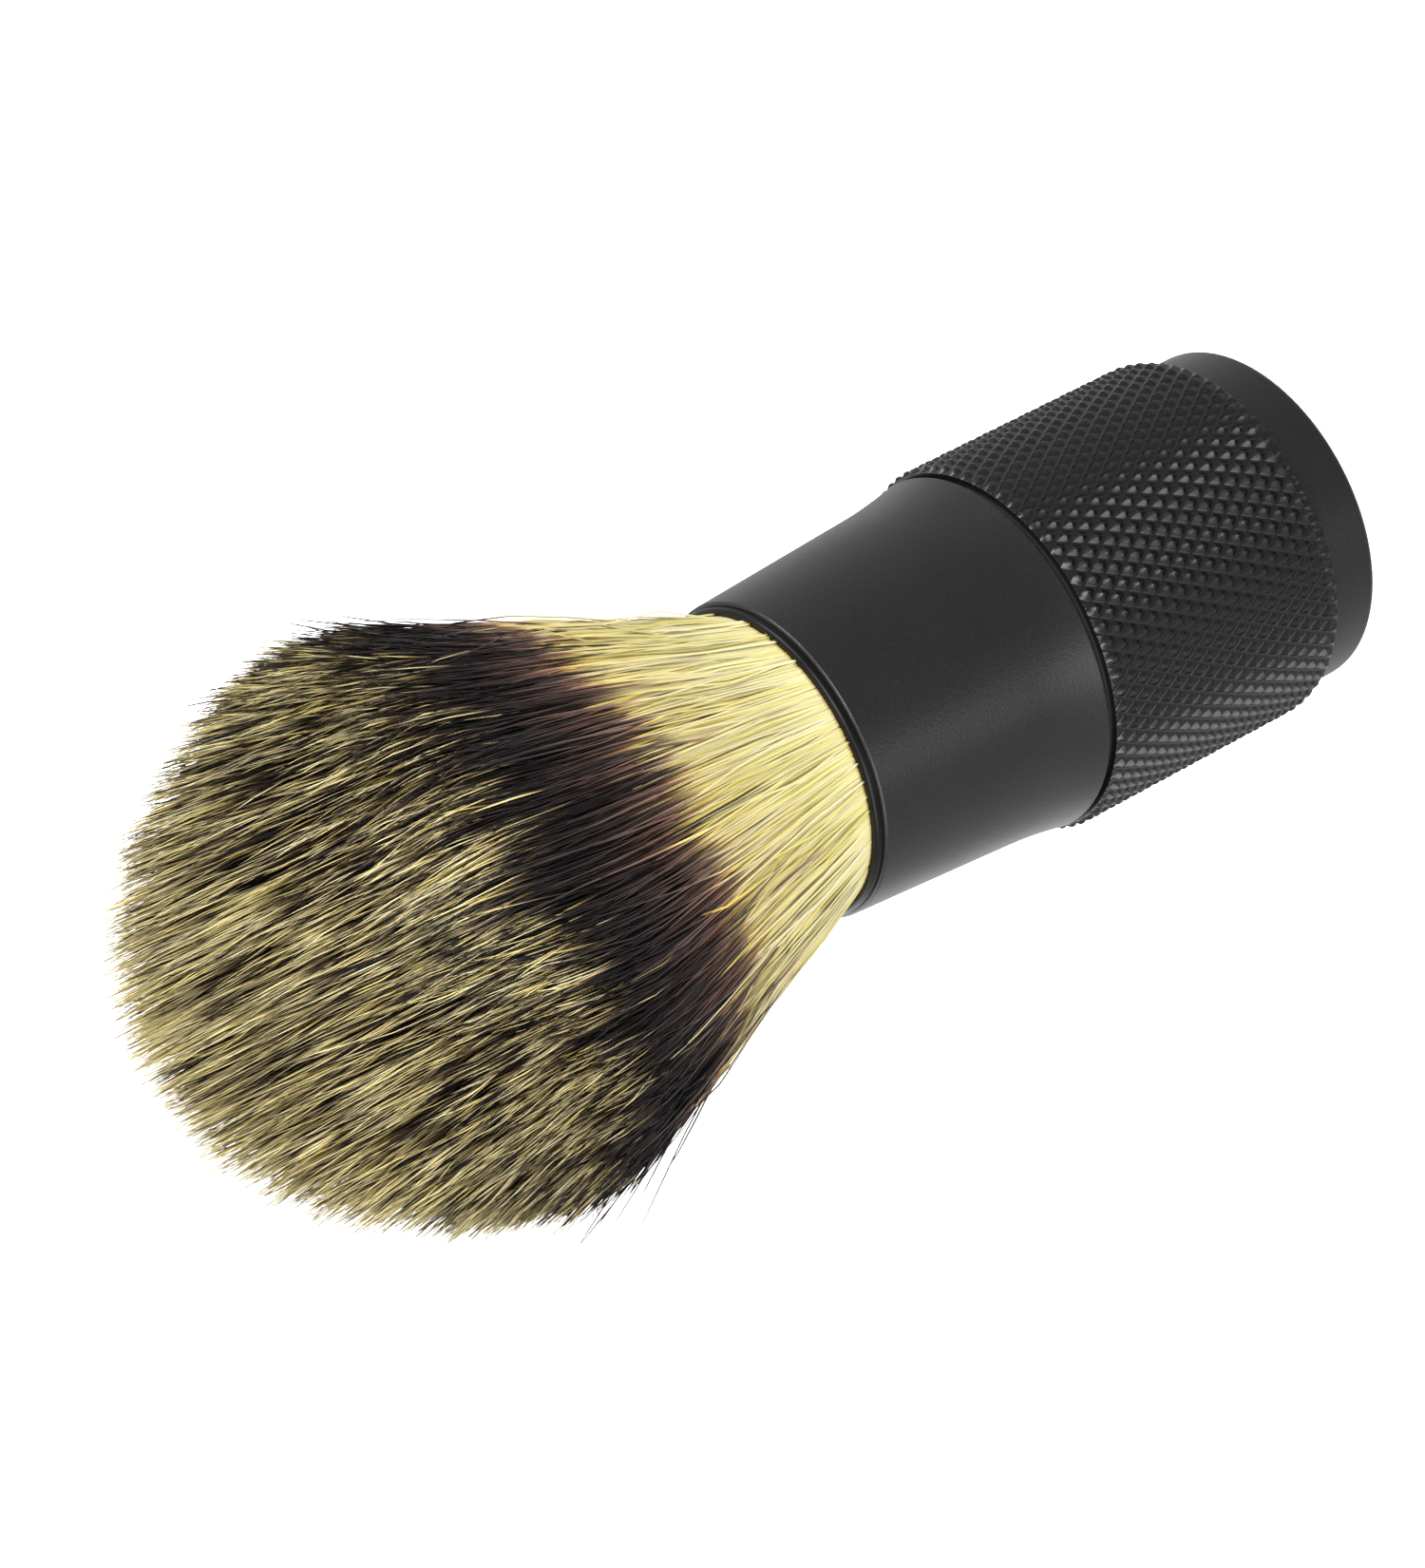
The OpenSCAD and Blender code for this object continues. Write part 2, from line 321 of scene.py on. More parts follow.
def knurledSleeve(name, form):
    low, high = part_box("grip_sleeve")
    half = form["groove"]
    marks = np.array([m for m, _ in half] + [1 - m for m, _ in half[::-1]])
    lift = np.array([h for _, h in half + half[::-1]])
    per, top = len(marks), len(half) - 1
    turn = per * form["starts"]
    first, second = form["crossings"]
    rows = int((high[2] - low[2]) / mm * (first + second)) + 2 * form["spare"]
    gap = np.arange(-form["spare"] * per, rows * per)[:, None]    # steps along the sleeve
    b = np.arange(turn)[None] + 0 * gap                           # steps round it
    a = b + gap
    handA, handB = a // per + marks[a % per], b // per + marks[b % per]
    angle = 2 * math.pi * (handA * second + handB * first) / (form["starts"] * (first + second))
    reach = high[0] - form["depth"] * (1 - np.minimum(lift[a % per], lift[b % per]))
    z = low[2] + (handA - handB) / (first + second) * mm
    spots = np.stack([reach * np.cos(angle), reach * np.sin(angle), z], 2).reshape(-1, 3)
    faces = []
    for row in range(1, len(gap) - 1):
        for col in range(turn):
            nextCol = (col + 1) % turn
            c00, c10 = row * turn + col, (row + 1) * turn + col
            c11, c01 = row * turn + nextCol, (row - 1) * turn + nextCol
            stepA, stepB = a[row, col] % per, col % per
            if stepA == stepB and stepA not in (top, per - 1):        # the hips of a diamond
                faces += [(c00, c10, c11), (c00, c11, c01)]
            elif stepA + stepB == 2 * top and stepA != top:
                faces += [(c00, c10, c01), (c10, c11, c01)]
            else:
                faces.append((c00, c10, c11, c01))
    mesh = bpy.data.meshes.new(name)
    mesh.from_pydata(spots.tolist(), [], faces)
    sleeve = bpy.data.objects.new(name, mesh)
    scene.collection.objects.link(sleeve)
    deselect()
    bpy.context.view_layer.objects.active = sleeve
    sleeve.select_set(True)

    # trimmed to its length, chamfered, faced off and bored
    bpy.ops.object.mode_set(mode="EDIT")
    bpy.ops.mesh.select_mode(type="VERT")
    trimEnds(low, high, fill=False)
    bpy.ops.mesh.select_all(action="SELECT")
    bpy.ops.mesh.delete_loose()
    bpy.ops.object.mode_set(mode="OBJECT")
    chamferEnds(mesh, low, high, form["chamfer"])
    bpy.ops.object.mode_set(mode="EDIT")
    bpy.ops.mesh.select_all(action="DESELECT")
    bpy.ops.mesh.select_mode(type="EDGE")
    bpy.ops.mesh.select_non_manifold()
    bpy.ops.mesh.extrude_edges_move()
    bpy.ops.object.mode_set(mode="OBJECT")
    for v in mesh.vertices:
        if v.select:
            shrink = form["bore"] / math.hypot(v.co.x, v.co.y)
            v.co.x, v.co.y = v.co.x * shrink, v.co.y * shrink
    bpy.ops.object.mode_set(mode="EDIT")
    bpy.ops.mesh.bridge_edge_loops()
    bpy.ops.mesh.select_all(action="SELECT")
    bpy.ops.mesh.remove_doubles(threshold=sameSpot)
    bpy.ops.mesh.normals_make_consistent(inside=False)
    bpy.ops.object.mode_set(mode="OBJECT")
    bpy.ops.object.shade_smooth_by_angle(angle=math.radians(form["smooth"]))
    even = sleeve.modifiers.new("flatFlanks", "WEIGHTED_NORMAL")
    even.keep_sharp = True
    bpy.ops.object.modifier_apply(modifier="flatFlanks")
    return sleeve


sleeve = knurledSleeve("knurledSleeve", knurl)
dress(sleeve, rolled)
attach(sleeve, "handle")
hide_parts("grip_sleeve")
print("sleeve knurled:", len(sleeve.data.polygons), "faces")

# black ABS, moulded satin: a soft line of light on the lip, with the faint ripple of a moulded skin
moulded = {
    "colourDeep": "#050505",
    "colour": "#09090a",
    "ripple": 1.6 * mm,
    "roughness": (0.28, 0.40),
    "bump": 0.06,
    "bumpDepth": 0.05 * mm,
}
lipPlastic, tree, shader = newMaterial("absMouldedSatin", IOR=1.54, Specular_IOR_Level=0.2)
ripple = noise(tree, moulded["ripple"], detail=2.0)
colourBetween(tree, shader, ripple, moulded["colourDeep"], moulded["colour"])
roughBetween(tree, shader, ripple, moulded["roughness"])
bumpFrom(tree, shader, ripple, moulded["bump"], moulded["bumpDepth"])
dress(cad["knot_cup"], lipPlastic)

# black nylon, stamped: a dull ring that only reads as the dark line of the seam
stamped = {"colour": "#0d0d0d", "fleck": "#171716", "grain": 0.3 * mm}
nylon, tree, shader = newMaterial("nylonStamped", IOR=1.53, Roughness=0.55)
fleck = noise(tree, stamped["grain"], detail=2.0)
colourBetween(tree, shader, fleck, stamped["colour"], stamped["fleck"])
dress(cad["seam_washer"], nylon)

# amber epoxy, poured: glassy and a little cloudy where it has wetted the fibres
poured = {"colour": "#6b5320", "cloudy": "#8a7038", "cloud": 2.5 * mm}
epoxy, tree, shader = newMaterial("epoxyPoured", IOR=1.55, Roughness=0.18)
cloud = noise(tree, poured["cloud"], detail=4.0)
colourBetween(tree, shader, cloud, poured["colour"], poured["cloudy"])
dress(cad["resin_plug"], epoxy)
print("metal, moulding and resin dressed")

# zinc-plated steel, rolled thread: bright metal with a soft grey bloom in patches
plated = {
    "bloom": "#7d8085",
    "bright": "#b9bcc0",
    "cloud": 1.2 * mm,
    "roughness": (0.42, 0.26),     # in the bloom and where it is bright
}
zinc, tree, shader = newMaterial("steelZincPlated", Metallic=1.0)
cloud = noise(tree, plated["cloud"], detail=4.0)
colourBetween(tree, shader, cloud, plated["bloom"], plated["bright"])
roughBetween(tree, shader, cloud, plated["roughness"])

# the stud's thread: one turn's profile, screwed up its length and trimmed
thread = {
    "pitch": 1.0 * mm,
    "depth": 0.61 * mm,
    "profile": ((0, 0.2), (1, 0.3), (0, 0.2), (-1, 0.3)),   # root, flank, crest, flank: out and up
    "steps": 40,                   # round one turn
    "spare": 2,                    # turns past each end, before it is trimmed
    "lead": 0.7 * mm,              # the chamfer at each end
    "smooth": 35.0,
}


def threadedStud(name, form):
    low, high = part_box("tie_stud")
    pitch = form["pitch"]
    deselect()
    bpy.ops.mesh.primitive_plane_add(size=pitch)
    stud = bpy.context.object
    stud.name = stud.data.name = name
    bpy.ops.object.mode_set(mode="EDIT")
    bpy.ops.mesh.select_mode(type="VERT")
    bpy.ops.mesh.select_all(action="SELECT")
    bpy.ops.mesh.merge(type="CENTER")
    bpy.ops.transform.translate(value=(high[0] - form["depth"], 0, low[2] - form["spare"] * pitch))
    for out, up in form["profile"]:
        bpy.ops.mesh.extrude_vertices_move(
            TRANSFORM_OT_translate={"value": (out * form["depth"], 0, up * pitch)})
    bpy.ops.object.mode_set(mode="OBJECT")
    screw = stud.modifiers.new("thread", "SCREW")
    screw.axis, screw.angle, screw.screw_offset = "Z", 2 * math.pi, pitch
    screw.iterations = int((high[2] - low[2]) / pitch) + 2 * form["spare"]
    screw.steps = screw.render_steps = form["steps"]
    screw.use_merge_vertices, screw.merge_threshold = True, sameSpot
    bpy.ops.object.modifier_apply(modifier="thread")
    bpy.ops.object.mode_set(mode="EDIT")
    bpy.ops.mesh.select_all(action="SELECT")
    bpy.ops.mesh.remove_doubles(threshold=sameSpot)
    trimEnds(low, high, fill=True)
    bpy.ops.object.mode_set(mode="OBJECT")
    chamferEnds(stud.data, low, high, form["lead"])
    bpy.ops.object.mode_set(mode="EDIT")
    bpy.ops.mesh.select_all(action="SELECT")
    bpy.ops.mesh.normals_make_consistent(inside=False)
    bpy.ops.object.mode_set(mode="OBJECT")
    bpy.ops.object.shade_smooth_by_angle(angle=math.radians(form["smooth"]))
    return stud


stud = threadedStud("threadedStud", thread)
dress(stud, zinc)
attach(stud, "handle")
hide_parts("tie_stud")
print("stud threaded:", len(stud.data.polygons), "faces")

# the knot: thousands of tapered fibres in clumps and locks, splayed to two sides
# lengths are in mm, shares are of the knot's radius or of a fibre's length
knot = {
    "seed": 7,

    # where the fibres stand
    "clumps": 3400,
    "jacketClumps": 1900,             # more of them round the outside
    "jacketFrom": 0.84,               # share of the radius where those begin
    "fibresInClump": 6,
    "clumpJitter": 0.35,              # how far clumps stand off their places, in steps between them
    "clumpReach": 0.030,              # how far a clump's fibres spread
    "tipGather": 0.22,                # how much of that spread is left at the tips
    "gatherFrom": 0.35,               # share of the length where they start to gather
    "locks": 420,                     # tufts of clumps that lean the same way
    "lockDrift": 0.015,               # how far a lock, a clump and a fibre lean
    "clumpDrift": 0.011,
    "drift": 0.022,
    "strays": 0.02,                   # share of fibres that stray further
    "strayDrift": 0.07,
    "strayOver": 0.02,                # and may pass the outside by this much

    # how far they reach
    "fan": 0.1,                       # how far below the lip's top they start to fan out
    "lipRadius": 11.85,               # pressed against the rounded edge of the lip
    "potRadius": 11.2,
    "dome": (21.5, 26.9, 29.5),       # the dome's radius, its height, and its centre above the mouth
    "domeSpan": 67.0,                 # degrees from the axis to the outermost tips
    "sideSpan": 21.0,                 # and this much more at the two sides, where the knot splays,
    "sideReach": 1.5,                 # with this much more radius
    "shoulder": (13.3, 14.0, 8.5),    # a fibre's bends: radius, height in the middle and at the outside
    "belly": (28.1, 38.0, 30.5),
    "splay": ((0.27, 0.31), (0.70, 0.66)),    # the same where it splays: shares of its reach and rise
    "shortest": 0.22,                 # share of a fibre that may be missing at its tip
    "longest": 0.02,
    "shortPower": 1.6,                # most miss little
    "lockLength": 0.012,              # how much locks differ in length

    # how they bend
    "wave": 0.25,
    "waveCycles": (0.7, 1.8),
    "waveRoot": 6.0,                  # the wave is full from one part in this many of the length
    "strayWave": 2.2,
    "lean": (1.0, 25.0, 38.0),        # how far the dome leans to one side, and the heights it leans between
    "loose": ((-1, 0.05, 3.0), (1, 0.06, 1.2)),    # side, share of its fibres that hang loose, how far
    "looseSide": 0.75,                # how squarely on that side they stand
    "looseFrom": 0.93,                # and how far out
    "looseHang": (0.3, 1.0),
    "curl": 0.5,                      # how far the tips bend aside
    "curlFrom": 0.6,

    # how thick they are
    "thickness": 0.080,               # half a fibre's width
    "widths": (0.75, 1.25),           # and how that differs
    "taper": ((0, 0.06, 0.45, 0.73, 0.85, 0.94, 1), (1.25, 1.25, 1.05, 0.9, 0.78, 0.56, 0.0)),
    "stations": (0.06, 0.26, 0.45, 0.60, 0.73, 0.85, 0.94),
    "across": (0.31, 0.95, 0.02),     # no fibre runs this way, so it sets which way they face

    # where their colour bands lie
    "columns": 48,                    # tints of fibre
    "columnEdge": 0.1,                # share of a tint's column left clear at each side
    "tipScale": 60.0,                 # length of the colour map
    "mapEdge": 0.2,                   # left clear at both ends of it
    "rootShadeLevel": 0.985,               # where on the map the roots lie, on its painted shade
    "lockShift": 0.9,                 # how far the bands slip from lock to lock, clump and fibre
    "clumpShift": 0.9,
    "fibreShift": 1.2,
    "keepBands": 0.7,                 # how much of its missing tip a short fibre makes up in colour
    "sideShift": 0.2,                 # how far the bands slip from one side of the knot to the other,
    "sideBands": 4.0,                 # and towards both sides,
    "sideFrom": 5.0,                  # from this far below the tips
    "sideDark": 4.8,                  # how much nearer the dark band the outermost tips there lie
    "sideDarkFrom": 0.85,
    "lateShare": 0.05,                # fibres whose bands lie further down, and how far
    "lateShift": (3.0, 8.0),
    "bareShare": (0.06, 0.52),        # fibres with no tan at the tip, in the middle and round the outside
    "bareFrom": (0.50, 0.98),
    "bareSide": 0.40,                 # and this much fewer of them on one side
    "bareLevel": (5.5, 9.0),          # where on the map their tips lie
    "paleShare": 0.003,               # outer fibres with no dark band, which lie on top of the rest
    "paleFrom": 0.88,
    "paleLift": 0.3,
    "paleWidth": 0.7,
    "paleLevel": (0.62, 0.2),         # where their part of the map starts, and its length
    "darkShare": 0.0007,              # fibres that are dark all along
    "darkLevel": (0.17, 0.05),
    "packed": (18.2, 24.2, 0.85),     # from here to here down the fibres they pack into one even coat
}


# one three-sided fibre, with a ring of points at each station
def modelFibre(stations):
    deselect()
    bpy.ops.mesh.primitive_cone_add(vertices=3, radius1=1, radius2=0, depth=1, location=(0, 0, 0.5))
    bpy.ops.object.transform_apply(location=True, rotation=True, scale=True)
    bpy.ops.object.mode_set(mode="EDIT")
    for share in stations:
        bpy.ops.mesh.select_all(action="SELECT")
        bpy.ops.mesh.bisect(plane_co=(0, 0, share), plane_no=(0, 0, 1))
    bpy.ops.object.mode_set(mode="OBJECT")
    fibre = bpy.context.object
    heights = np.array((0.0,) + tuple(stations) + (1.0,))
    spots = np.array([v.co for v in fibre.data.vertices])
    ring = np.abs(spots[:, 2:3] - heights[None]).argmin(1)
    angle = np.arctan2(spots[:, 1], spots[:, 0])
    corner = np.round((angle - angle[ring == 0].min()) / (2 * math.pi / 3)).astype(int) % 3
    faces = [list(p.vertices) for p in fibre.data.polygons]
    mesh = fibre.data
    bpy.data.objects.remove(fibre)
    bpy.data.meshes.remove(mesh)
    return heights, ring, corner, faces


# clumps in a sunflower over the knot and a jacket round it, fibres scattered round each
def plantFibres(draw):
    clumps, locks = knot["clumps"] + knot["jacketClumps"], knot["locks"]
    count = clumps * knot["fibresInClump"]
    order = np.arange(clumps) + 0.5
    reach = np.sqrt(order / knot["clumps"])
    reach[knot["clumps"]:] = np.sqrt(draw.uniform(knot["jacketFrom"] ** 2, 1, knot["jacketClumps"]))
    bearing = order * math.pi * (3 - math.sqrt(5))
    centre = np.stack([reach * np.cos(bearing), reach * np.sin(bearing)], 1)
    centre += draw.normal(0, knot["clumpJitter"] / math.sqrt(knot["clumps"]), centre.shape)
    owner = np.repeat(np.arange(clumps), knot["fibresInClump"])
    spread = draw.normal(0, knot["clumpReach"], (count, 2))
    stray = draw.random(count) < knot["strays"]
    lockSeat = np.sqrt(draw.random(locks)) * np.exp(2j * math.pi * draw.random(locks))
    clumpSeat = centre[:, 0] + 1j * centre[:, 1]
    lockOf = np.abs(clumpSeat[:, None] - lockSeat[None]).argmin(1)[owner]
    drift = draw.normal(0, 1, (count, 2))
    drift *= np.where(stray, knot["strayDrift"], knot["drift"])[:, None]
    drift += draw.normal(0, knot["lockDrift"], (locks, 2))[lockOf]
    drift += draw.normal(0, knot["clumpDrift"], (clumps, 2))[owner]
    missing = (knot["shortest"] + knot["longest"]) * draw.random(count) ** knot["shortPower"]
    missing = np.maximum(missing + draw.normal(0, knot["lockLength"], locks)[lockOf], 0)
    return SimpleNamespace(count=count, clumps=clumps, owner=owner, seat=centre[owner], lockOf=lockOf,
                           spread=spread, stray=stray, drift=drift, missing=missing,
                           length=1 + knot["longest"] - missing)


# radius and height above the mouth, along a curve from the lip to the dome
def fibrePoints(share, along, side):
    span = np.radians(knot["domeSpan"] + knot["sideSpan"] * side)
    polar = np.arccos(np.clip(1 - share ** 2 * (1 - np.cos(span)), -1, 1))
    domeRadius, domeRise, domeCentre = knot["dome"]
    domeRadius = domeRadius + knot["sideReach"] * side
    root = np.stack([knot["lipRadius"] * share, (lipZ - mouthZ) / mm - knot["fan"] + 0 * share])
    tip = np.stack([domeRadius * np.sin(polar), domeCentre + domeRise * np.cos(polar)])
    bends = []
    for name, splay in zip(("shoulder", "belly"), knot["splay"]):
        radius, middle, outside = knot[name]
        bowed = np.stack([radius * share, middle + (outside - middle) * share ** 2])
        straight = root + (tip - root) * np.array(splay).reshape(2, 1, 1)
        bends.append(bowed + (straight - bowed) * side)
    back = 1 - along
    weights = (back ** 3, 3 * back ** 2 * along, 3 * back * along ** 2, along ** 3)
    return sum(weight * point for weight, point in zip(weights, (root, *bends, tip)))


# how far up its curve each ring sits: ring 0 is in the potting, ring 1 at the lip
def curveFibres(hair, heights):
    along = np.clip((heights - heights[1]) / (1 - heights[1]), 0, 1)[None] * hair.length[:, None]
    start = knot["gatherFrom"]
    gather = 1 - (1 - knot["tipGather"]) * np.clip(along - start, 0, 1) / (1 - start)
    plan = hair.seat[:, None] + hair.spread[:, None] * gather[..., None]
    plan += hair.drift[:, None] * (along ** 2)[..., None]
    share = np.linalg.norm(plan, axis=2)
    way = plan / np.maximum(share, tiny)[..., None]
    share = np.minimum(share, 1.0 + knot["strayOver"] * hair.stray[:, None])
    radius, rise = fibrePoints(share, along, np.abs(way[..., 0]) * share)
    points = np.concatenate([way * radius[..., None], rise[..., None]], 2)
    points[:, 0, 2] = (pottingZ - mouthZ) / mm
    points[:, 0, :2] *= knot["potRadius"] / knot["lipRadius"]
    hair.along, hair.way, hair.share, hair.points = along, way, share, points


def bendFibres(draw, hair):
    count, along, points = hair.count, hair.along, hair.points

    # a slow wave across each fibre, none at the root
    phase = draw.uniform(0, 2 * math.pi, (2, count, 1))
    cycles = draw.uniform(*knot["waveCycles"], (2, count, 1))
    size = np.abs(draw.normal(0, 1, (count, 1)))
    size = size * np.where(hair.stray, knot["strayWave"], 1.0)[:, None] * knot["wave"]
    swing = np.stack([np.sin(phase[k] + 2 * math.pi * cycles[k] * along) for k in range(2)], 2)
    points[..., :2] += swing * (size * np.minimum(along * knot["waveRoot"], 1))[..., None]

    # the dome leans as a whole, and some of its outer fibres hang loose
    lean, leanFrom, leanTo = knot["lean"]
    part = np.clip((points[..., 2] - leanFrom) / (leanTo - leanFrom), 0, 1)
    points[..., 0] += lean * part * part * (3 - 2 * part)
    hair.loose = np.zeros(count, bool)
    for edge, chance, hang in knot["loose"]:
        hangs = draw.random(count) < chance
        hangs &= hair.way[:, 0, 0] * edge > knot["looseSide"]
        hangs &= hair.share[:, 0] > knot["looseFrom"]
        droop = hangs * draw.uniform(*knot["looseHang"], count) * hang
        points[..., 0] += edge * droop[:, None] * along ** 3
        hair.loose |= hangs

    # pale ones lie on top of the rest, and all tips curl a little
    hair.kind = draw.random(count)
    hair.pale = (hair.kind < knot["paleShare"]) & (hair.share[:, -1] > knot["paleFrom"])
    lift = knot["paleLift"] * hair.pale[:, None] * np.sin(math.pi * along)
    points[..., :2] += hair.way * lift[..., None]
    bend = np.clip((along - knot["curlFrom"]) / (1 - knot["curlFrom"]), 0, 1) ** 2
    points[..., :2] += draw.normal(0, knot["curl"], (count, 1, 2)) * bend[..., None]


# where on the colour map each ring of each fibre lies: 0 at the tips, 1 at the roots
def bandLevels(draw, hair):
    count = hair.count
    step = np.linalg.norm(np.diff(hair.points, axis=1), axis=2)
    fromTip = np.concatenate([np.cumsum(step[:, ::-1], 1)[:, ::-1], np.zeros((count, 1))], 1)
    slip = draw.normal(0, knot["clumpShift"], hair.clumps)[hair.owner]
    slip += draw.normal(0, knot["fibreShift"], count)
    slip += draw.normal(0, knot["lockShift"], knot["locks"])[hair.lockOf]
    slip += knot["keepBands"] * hair.missing / hair.length * fromTip[:, 1]
    sideWay = hair.way[:, -1, 0]
    darkFrom = knot["sideDarkFrom"]
    outermost = np.clip((hair.share[:, -1] - darkFrom) / (1 - darkFrom), 0, 1)
    slip += knot["sideDark"] * sideWay ** 2 * outermost
    late = np.abs(hair.kind - 0.5) < knot["lateShare"] / 2
    slip -= np.where(late, draw.uniform(*knot["lateShift"], count), 0)
    sideSlip = (knot["sideShift"] * sideWay + knot["sideBands"] * sideWay ** 2)[:, None]
    sideSlip = sideSlip * np.clip(fromTip / knot["sideFrom"] - 1, 0, 1)
    chance = np.interp(np.linalg.norm(hair.seat, axis=1), knot["bareFrom"], knot["bareShare"])
    chance *= 1 - knot["bareSide"] * np.clip(-hair.seat[:, 0], 0, 1)
    bare = (draw.random(count) < chance) | hair.loose
    tipLevel = np.where(bare, draw.uniform(*knot["bareLevel"], count), knot["mapEdge"])
    level = fromTip + slip[:, None] + sideSlip
    level = np.clip(level, tipLevel[:, None], knot["tipScale"] - knot["mapEdge"]) / knot["tipScale"]
    dark = hair.kind > 1 - knot["darkShare"]
    for chosen, (start, part) in ((hair.pale, knot["paleLevel"]), (dark, knot["darkLevel"])):
        level = np.where(chosen[:, None], start + part * level, level)
    # the two lowest rings take the painted shade at the end of the map, so the roots darken just above the
    # lip
    level[:, :2] = knot["rootShadeLevel"]
    return level


def layFibres(draw):
    heights, ring, corner, faces = modelFibre(knot["stations"])
    hair = plantFibres(draw)
    curveFibres(hair, heights)
    bendFibres(draw, hair)

    # frames across each fibre, and its width along its length
    tangent = np.gradient(hair.points, axis=1)
    tangent /= np.linalg.norm(tangent, axis=2, keepdims=True)
    across = np.cross(tangent, np.array(knot["across"]))
    across /= np.linalg.norm(across, axis=2, keepdims=True)
    over = np.cross(tangent, across)
    taper = np.interp(heights, *knot["taper"])
    width = knot["thickness"] * draw.uniform(*knot["widths"], (hair.count, 1)) * taper[None]
    width[hair.pale] *= knot["paleWidth"]
    turn = draw.uniform(0, 2 * math.pi, (hair.count, 1)) + corner[None] * (2 * math.pi / 3)
    facing = np.cos(turn)[..., None] * across[:, ring] + np.sin(turn)[..., None] * over[:, ring]
    vertices = hair.points[:, ring] + width[:, ring, None] * facing

    # packed fibres face outwards from the knot, loose ones each their own way
    level = bandLevels(draw, hair)
    outward = np.concatenate([hair.way, 0 * hair.way[..., :1]], 2)
    outward -= (outward * tangent).sum(2, keepdims=True) * tangent
    outward /= np.maximum(np.linalg.norm(outward, axis=2, keepdims=True), tiny)
    packedFrom, packedTo, most = knot["packed"]
    packed = np.interp(level * knot["tipScale"], (packedFrom, packedTo), (0, most))[:, ring, None]
    normals = facing * (1 - packed) + outward[:, ring] * packed
    normals /= np.maximum(np.linalg.norm(normals, axis=2, keepdims=True), tiny)

    # colour map: across, the fibre's tint; along, the distance from its tip
    column = draw.integers(0, knot["columns"], hair.count)
    loops = np.array([v for face in faces for v in face])
    tally = np.array([len(face) for face in faces])
    slot = []
    for face in faces:
        corners = [corner[v] for v in face]
        wraps = 0 in corners and 2 in corners and 1 not in corners
        slot += [3 if wraps and c == 0 else c for c in corners]
    edge = knot["columnEdge"]
    tint = (column[:, None] + edge + (1 - 2 * edge) * np.array(slot)[None] / 3) / knot["columns"]
    fibreMap = np.stack([tint, level[:, ring[loops]]], 2)
    return vertices * mm + np.array([0, 0, mouthZ]), normals, loops, tally, fibreMap, hair.seat


def fibrePiece(name, vertices, normals, loops, tally, fibreMap):
    count, size = vertices.shape[:2]
    mesh = bpy.data.meshes.new(name)
    mesh.vertices.add(count * size)
    mesh.vertices.foreach_set("co", vertices.ravel())
    corners = (loops[None] + np.arange(count)[:, None] * size).ravel()
    mesh.loops.add(len(corners))
    mesh.loops.foreach_set("vertex_index", corners.astype(np.int32))
    totals = np.tile(tally, count)
    starts = np.concatenate([[0], np.cumsum(totals)[:-1]])
    mesh.polygons.add(len(totals))
    mesh.polygons.foreach_set("loop_start", starts.astype(np.int32))
    mesh.uv_layers.new(name="OFBake").data.foreach_set("uv", fibreMap.ravel())
    mesh.update(calc_edges=True)
    mesh.validate()
    mesh.polygons.foreach_set("use_smooth", np.ones(len(totals), bool))
    mesh.normals_split_custom_set_from_vertices(normals.reshape(-1, 3))
    piece = bpy.data.objects.new(name, mesh)
    scene.collection.objects.link(piece)
    return piece


draw = np.random.default_rng(knot["seed"])
vertices, normals, loops, tally, fibreMap, seat = layFibres(draw)

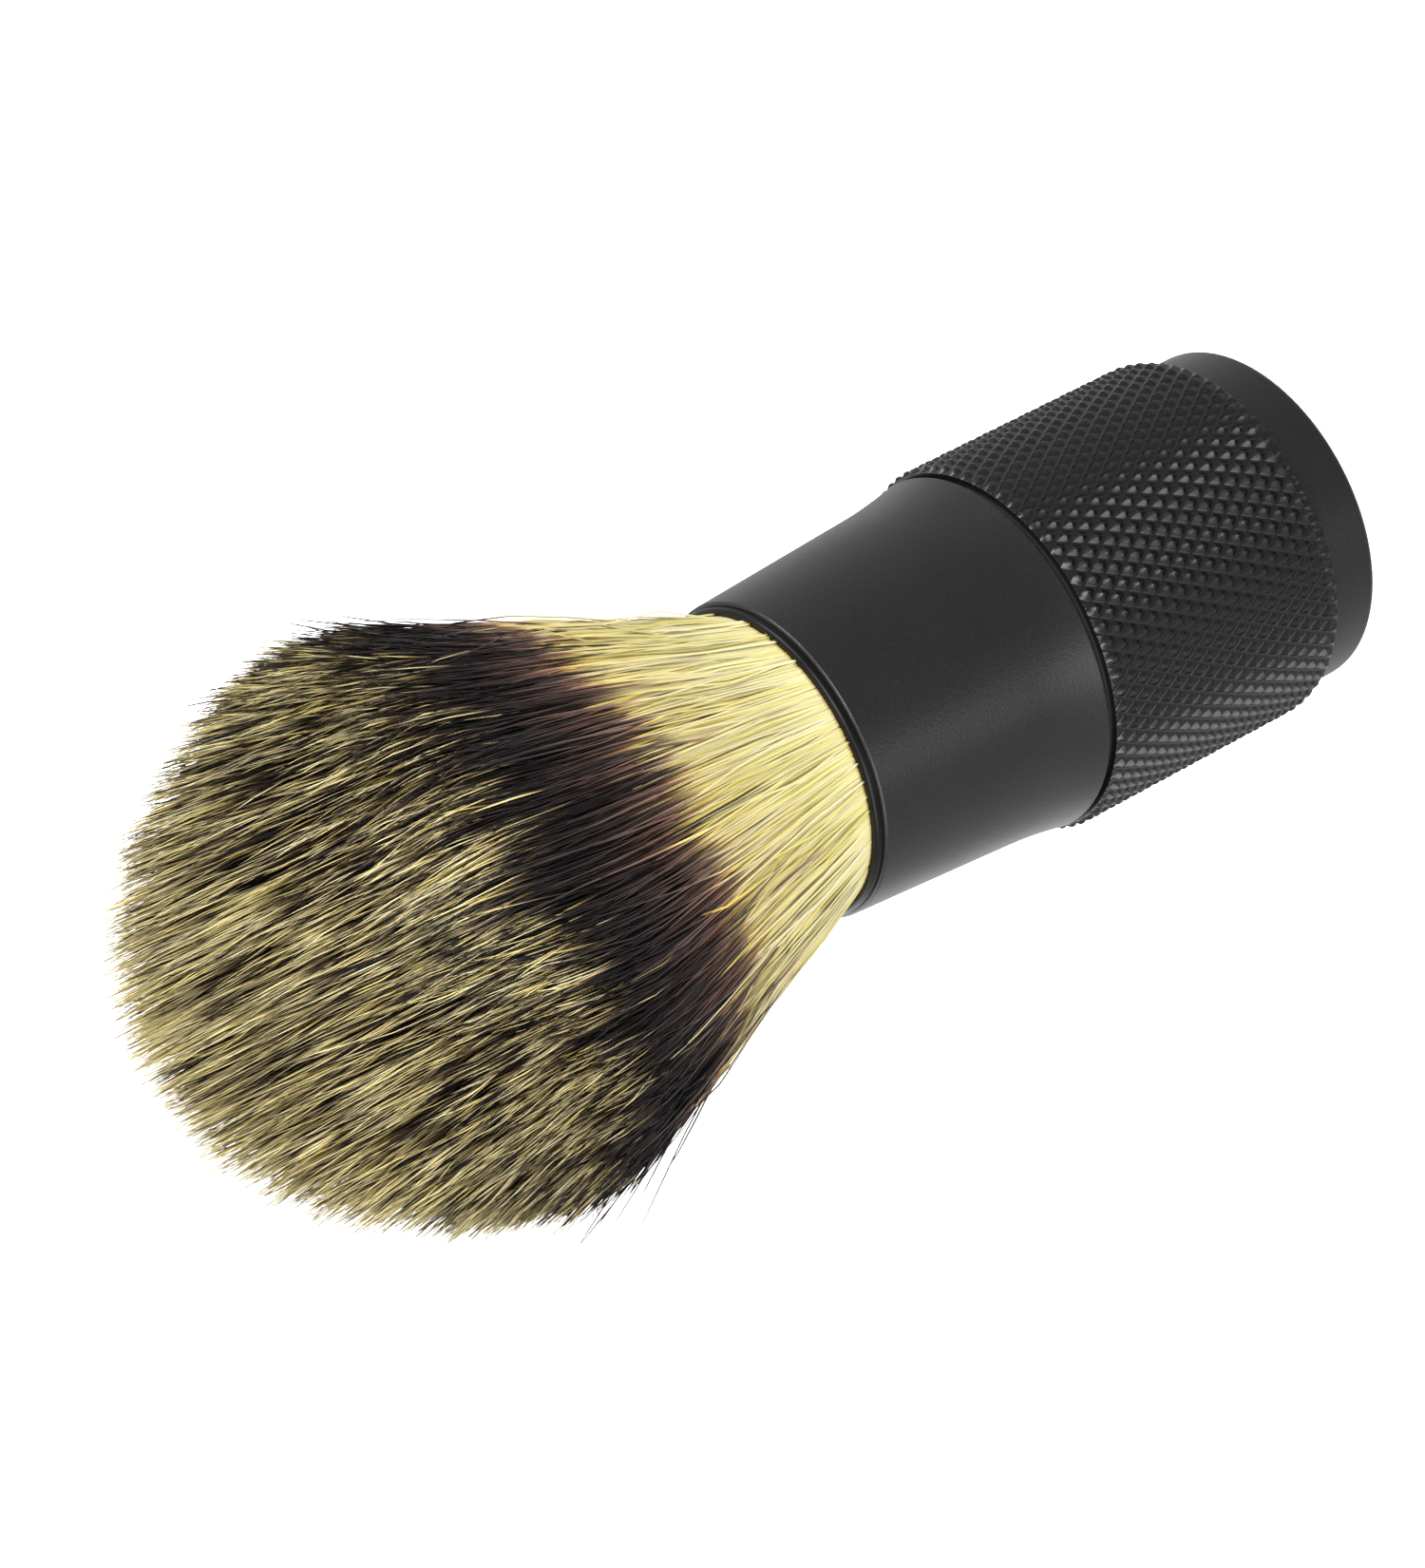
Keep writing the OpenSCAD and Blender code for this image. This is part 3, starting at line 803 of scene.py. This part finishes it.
# dyed nylon, drawn to a taper: silky along its length, with the dye uneven from fibre to fibre
dyed = {
    "bands": [                     # mm from the tip: tan, then black, brown and cream, and painted shade at the root, where the fibres go down into the cup
        (0.0, "#e8da9c"), (2.2, "#dccb8a"), (3.8, "#b4a066"), (5.2, "#54452f"),
        (6.6, "#201918"), (9.0, "#1d1717"), (12.0, "#292020"), (15.6, "#43322d"),
        (18.2, "#573f37"), (20.4, "#7a5a44"), (21.6, "#b4955c"), (22.8, "#dcc87a"),
        # painted shade: the last three stops darken the roots where they go down into the cup
        (33.0, "#e5d88f"), (57.4, "#e7db98"), (58.5, "#a8944f"), (60.0, "#4f3f1c"),
    ],
    "spread": [                    # mm from the tip: how much fibres differ there
        (0, 0.34), (5, 0.6), (9, 2.6), (19, 1.4), (24, 0.12), (60, 0.08),
    ],
    "dimmest": 0.15,
    "saturation": (0.68, 1.2),
    "roughness": 0.32,
    "specular": 0.45,
}
fibreNylon, tree, shader = newMaterial("nylonFibreDyed", IOR=1.53, Roughness=dyed["roughness"],
                                       Specular_IOR_Level=dyed["specular"])
mapPlace = addNode(tree, "ShaderNodeUVMap", {"uv_map": "OFBake"})
parts = addNode(tree, "ShaderNodeSeparateXYZ", None, {0: mapPlace.outputs[0]})
bands = addNode(tree, "ShaderNodeValToRGB", None, {0: parts.outputs["Y"]})
setRamp(bands, [(d / knot["tipScale"], linearColour(c)) for d, c in dyed["bands"]])
spread = addNode(tree, "ShaderNodeValToRGB", None, {0: parts.outputs["Y"]})
setRamp(spread, [(d / knot["tipScale"], (s, s, s, 1.0)) for d, s in dyed["spread"]])
column = mathNode(tree, "FLOOR", mathNode(tree, "MULTIPLY", parts.outputs["X"], knot["columns"]))
chance = addNode(tree, "ShaderNodeTexWhiteNoise", {"noise_dimensions": "1D"}, {"W": column})
hues = addNode(tree, "ShaderNodeSeparateColor", None, {0: chance.outputs["Color"]})
around = remap(tree, hues.outputs[0], result=(-1.0, 1.0))
bright = mathNode(tree, "MULTIPLY_ADD", around, spread.outputs[0], 1.0)
bright = mathNode(tree, "MAXIMUM", bright, dyed["dimmest"])
strong = remap(tree, hues.outputs[1], result=dyed["saturation"])
tinted = addNode(tree, "ShaderNodeHueSaturation", None,
                 {"Color": bands.outputs[0], "Value": bright, "Saturation": strong})
tree.links.new(tinted.outputs[0], shader.inputs["Base Color"])

# eight pieces from the middle outwards, each light enough to handle
layers = ("fibresCore", "fibresHeart", "fibresInner", "fibresMiddle",
          "fibresOuter", "fibresShell", "fibresJacket", "fibresSkin")
inOrder = np.argsort(np.linalg.norm(seat, axis=1), kind="stable")
for name, pick in zip(layers, np.array_split(inOrder, len(layers))):
    piece = fibrePiece(name, vertices[pick], normals[pick], loops, tally, fibreMap[pick])
    dress(piece, fibreNylon)
    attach(piece, "head")
    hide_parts("bristles")
    print(name, len(pick), "fibres")
